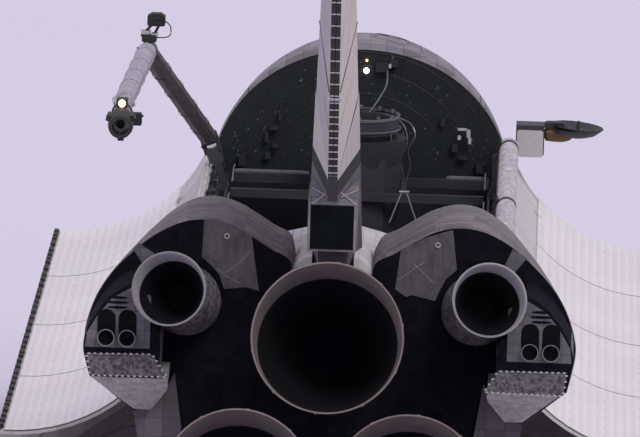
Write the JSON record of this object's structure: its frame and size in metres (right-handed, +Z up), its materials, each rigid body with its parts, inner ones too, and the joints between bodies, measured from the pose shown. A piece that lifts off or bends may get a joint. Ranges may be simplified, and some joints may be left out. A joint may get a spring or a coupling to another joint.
{
  "type": "space shuttle",
  "caption": "Winged delta orbiter parked on twin-wheel landing gear, payload bay doors open, with robot arm, docking system, engines, control surfaces and a split rudder.",
  "frame": {"origin": "on the ground, under the middle of the parked orbiter's box", "axes": "+Y forward to the nose, +X to starboard, +Z up"},
  "size_m": [23.7744, 36.3088, 17.1903],
  "materials": {
    "white_tile": "matte coated tile",
    "black_tile": "matte coated tile",
    "reinforced_carbon": "matte carbon",
    "quilted_blanket": "quilted",
    "cabin_grey": "satin",
    "seat_cloth": "woven",
    "window_glass": "polished",
    "structure_alloy": "satin",
    "door_skin": "matte",
    "radiator_face": "satin film",
    "arm_cover": "soft blanket",
    "nozzle_alloy": "brushed",
    "engine_bronze": "heat-stained",
    "gear_paint": "gloss",
    "tyre_rubber": "matte"
  },
  "bodies": {
    "airframe": {"nose_cap": "reinforced_carbon", "lower_forward_fuselage": "white_tile", "upper_forward_fuselage": "white_tile", "windshield_glass": "window_glass", "flight_deck": "cabin_grey", "crew_seats": "seat_cloth", "payload_bay_bulkhead": "cabin_grey", "docking_system": "structure_alloy", "mid_fuselage": "white_tile", "aft_fuselage": "white_tile", "upper_main_engine_nozzle": "engine_bronze", "port_main_engine_nozzle": "engine_bronze", "starboard_main_engine_nozzle": "engine_bronze", "main_engine_block": "engine_bronze", "base_heat_shield": "black_tile", "port_oms_pod": "quilted_blanket", "port_oms_nozzle": "nozzle_alloy", "port_wing_leading_edge": "reinforced_carbon", "port_wing": "white_tile", "port_main_gear_strut": "gear_paint", "port_main_gear_door": "black_tile", "starboard_oms_pod": "quilted_blanket", "starboard_oms_nozzle": "nozzle_alloy", "starboard_wing_leading_edge": "reinforced_carbon", "starboard_wing": "white_tile", "starboard_main_gear_strut": "gear_paint", "starboard_main_gear_door": "black_tile", "vertical_fin": "quilted_blanket", "drag_chute_housing": "quilted_blanket", "nose_gear_strut": "gear_paint", "port_nose_gear_door": "black_tile", "starboard_nose_gear_door": "black_tile"},
    "nose_fork": {"nose_gear_fork": "gear_paint"},
    "nose_wheel_set": {"nose_wheels": "tyre_rubber"},
    "port_wheel_set": {"port_main_wheels": "tyre_rubber"},
    "starboard_wheel_set": {"starboard_main_wheels": "tyre_rubber"},
    "crew_hatch": {"side_hatch": "white_tile"},
    "port_elevon_inboard": {"port_inboard_elevon": "quilted_blanket"},
    "port_elevon_outboard": {"port_outboard_elevon": "quilted_blanket"},
    "starboard_elevon_inboard": {"starboard_inboard_elevon": "quilted_blanket"},
    "starboard_elevon_outboard": {"starboard_outboard_elevon": "quilted_blanket"},
    "flap": {"body_flap": "white_tile"},
    "rudder": {"rudder_shaft": "white_tile"},
    "port_rudder_half": {"port_rudder_panels": "quilted_blanket"},
    "starboard_rudder_half": {"starboard_rudder_panels": "quilted_blanket"},
    "port_door": {"port_payload_door": "door_skin", "port_aft_radiators": "radiator_face"},
    "starboard_door": {"starboard_payload_door": "door_skin", "starboard_aft_radiators": "radiator_face"},
    "port_radiators": {"port_forward_radiators": "radiator_face"},
    "starboard_radiators": {"starboard_forward_radiators": "radiator_face"},
    "arm_base": {"arm_cradle": "arm_cover"},
    "arm_upper": {"arm_upper_boom": "arm_cover"},
    "arm_lower": {"arm_lower_boom": "arm_cover"},
    "wrist_pitch_link": {"arm_wrist_pitch": "arm_cover"},
    "wrist_yaw_link": {"arm_wrist_yaw": "arm_cover"},
    "arm_hand": {"arm_end_effector": "arm_cover"},
    "boom": {"boom_cradle": "arm_cover", "inspection_boom": "arm_cover"},
    "antenna": {"link_antenna": "structure_alloy"}
  },
  "joints": [
    {"name": "nose_steering", "type": "hinge", "parent": "airframe", "child": "nose_fork", "pos_m": [0, 14.50248, 1.13039], "axis": [0, 0.061, 0.9981], "range_deg": [-10, 10]},
    {"name": "nose_wheels_spin", "type": "hinge", "parent": "nose_fork", "child": "nose_wheel_set", "pos_m": [0, 14.45829, 0.40784], "axis": [1, 0, 0], "continuous": true},
    {"name": "port_main_wheels_spin", "type": "hinge", "parent": "airframe", "child": "port_wheel_set", "pos_m": [-3.4544, -5.73744, 0.5641], "axis": [1, 0, 0], "continuous": true},
    {"name": "starboard_main_wheels_spin", "type": "hinge", "parent": "airframe", "child": "starboard_wheel_set", "pos_m": [3.4544, -5.73744, 0.5641], "axis": [1, 0, 0], "continuous": true},
    {"name": "side_hatch_hinge", "type": "hinge", "parent": "airframe", "child": "crew_hatch", "pos_m": [-2.68224, 10.90876, 3.11879], "axis": [0, -0.9981, 0.061], "range_deg": [0, 90]},
    {"name": "port_inboard_elevon_hinge", "type": "hinge", "parent": "airframe", "child": "port_elevon_inboard", "pos_m": [-2.921, -11.01611, 3.71203], "axis": [0.9999, -0.0007, -0.0109], "range_deg": [-36.5, 21.5]},
    {"name": "port_outboard_elevon_hinge", "type": "hinge", "parent": "airframe", "child": "port_elevon_outboard", "pos_m": [-7.97306, -11.01272, 3.76746], "axis": [0.9998, -0.0011, -0.0173], "range_deg": [-36.5, 21.5]},
    {"name": "starboard_inboard_elevon_hinge", "type": "hinge", "parent": "airframe", "child": "starboard_elevon_inboard", "pos_m": [2.921, -11.01611, 3.71203], "axis": [0.9999, 0.0007, 0.0109], "range_deg": [-36.5, 21.5]},
    {"name": "starboard_outboard_elevon_hinge", "type": "hinge", "parent": "airframe", "child": "starboard_elevon_outboard", "pos_m": [7.97306, -11.01272, 3.76746], "axis": [0.9998, 0.0011, 0.0173], "range_deg": [-36.5, 21.5]},
    {"name": "body_flap_hinge", "type": "hinge", "parent": "airframe", "child": "flap", "pos_m": [0, -14.75398, 3.75956], "axis": [1, 0, 0], "range_deg": [-11.7, 22.5]},
    {"name": "rudder_hinge", "type": "hinge", "parent": "airframe", "child": "rudder", "pos_m": [0, -13.99935, 12.10344], "axis": [0, -0.52, 0.8542], "range_deg": [-27.1, 27.1]},
    {"name": "port_speed_brake_hinge", "type": "hinge", "parent": "rudder", "child": "port_rudder_half", "pos_m": [0, -13.99935, 12.10344], "axis": [0, 0.52, -0.8542], "range_deg": [0, 49.3]},
    {"name": "starboard_speed_brake_hinge", "type": "hinge", "parent": "rudder", "child": "starboard_rudder_half", "pos_m": [0, -13.99935, 12.10344], "axis": [0, -0.52, 0.8542], "range_deg": [0, 49.3]},
    {"name": "port_door_hinge", "type": "hinge", "parent": "airframe", "child": "port_door", "pos_m": [-2.667, 0.38185, 6.16743], "axis": [0, -0.9981, 0.061], "range_deg": [-175.5, 0]},
    {"name": "starboard_door_hinge", "type": "hinge", "parent": "airframe", "child": "starboard_door", "pos_m": [2.667, 0.38185, 6.16743], "axis": [0, 0.9981, -0.061], "range_deg": [-175.5, 0]},
    {"name": "port_radiator_hinge", "type": "hinge", "parent": "port_door", "child": "port_radiators", "pos_m": [-3.1974, -5.41704, 5.80274], "axis": [0, 0.9981, -0.061], "range_deg": [0, 35.5]},
    {"name": "starboard_radiator_hinge", "type": "hinge", "parent": "starboard_door", "child": "starboard_radiators", "pos_m": [3.1974, -5.41704, 5.80274], "axis": [0, -0.9981, 0.061], "range_deg": [0, 35.5]},
    {"name": "arm_cradle_roll", "type": "hinge", "parent": "airframe", "child": "arm_base", "pos_m": [-2.33172, 0.36014, 5.8125], "axis": [0, -0.9981, 0.061], "range_deg": [-33.3, 0]},
    {"name": "arm_shoulder_pitch", "type": "hinge", "parent": "arm_base", "child": "arm_upper", "pos_m": [-2.65931, 7.14503, 6.28002], "axis": [-0.9373, -0.0213, -0.3479], "range_deg": [-24.7, 0]},
    {"name": "arm_elbow_pitch", "type": "hinge", "parent": "arm_upper", "child": "arm_lower", "pos_m": [-3.5844, 1.51096, 9.11677], "axis": [0.9373, 0.0213, 0.3479], "range_deg": [-22.3, 0]},
    {"name": "arm_wrist_pitch", "type": "hinge", "parent": "arm_lower", "child": "wrist_pitch_link", "pos_m": [-3.68747, -5.51397, 9.8241], "axis": [0.9373, 0.0213, 0.3479], "range_deg": [-5.6, 90]},
    {"name": "arm_wrist_yaw", "type": "hinge", "parent": "wrist_pitch_link", "child": "wrist_yaw_link", "pos_m": [-3.67885, -5.97106, 9.82884], "axis": [0.3481, -0.0032, -0.9375], "range_deg": [-120, 120]},
    {"name": "arm_wrist_roll", "type": "hinge", "parent": "wrist_yaw_link", "child": "arm_hand", "pos_m": [-3.66449, -6.73289, 9.83673], "axis": [0.0188, -0.9998, 0.0104], "range_deg": [-447, 447]},
    {"name": "boom_cradle_roll", "type": "hinge", "parent": "airframe", "child": "boom", "pos_m": [2.33172, 0.36014, 5.8125], "axis": [0, 0.9981, -0.061], "range_deg": [-31.5, 0]},
    {"name": "antenna_hinge", "type": "hinge", "parent": "airframe", "child": "antenna", "pos_m": [2.413, 8.82737, 5.70178], "axis": [0, 0.9981, -0.061], "range_deg": [-140, 0]}
  ],
  "couplings": [
    {"joint": "starboard_speed_brake_hinge", "follows": "port_speed_brake_hinge", "ratio": 1},
    {"joint": "arm_cradle_roll", "follows": "port_door_hinge", "ratio": 0.18917},
    {"joint": "arm_shoulder_pitch", "follows": "port_door_hinge", "ratio": 0.14017},
    {"joint": "arm_elbow_pitch", "follows": "port_door_hinge", "ratio": 0.1265},
    {"joint": "boom_cradle_roll", "follows": "starboard_door_hinge", "ratio": 0.17892},
    {"joint": "antenna_hinge", "follows": "starboard_door_hinge", "ratio": 0.79772}
  ]
}
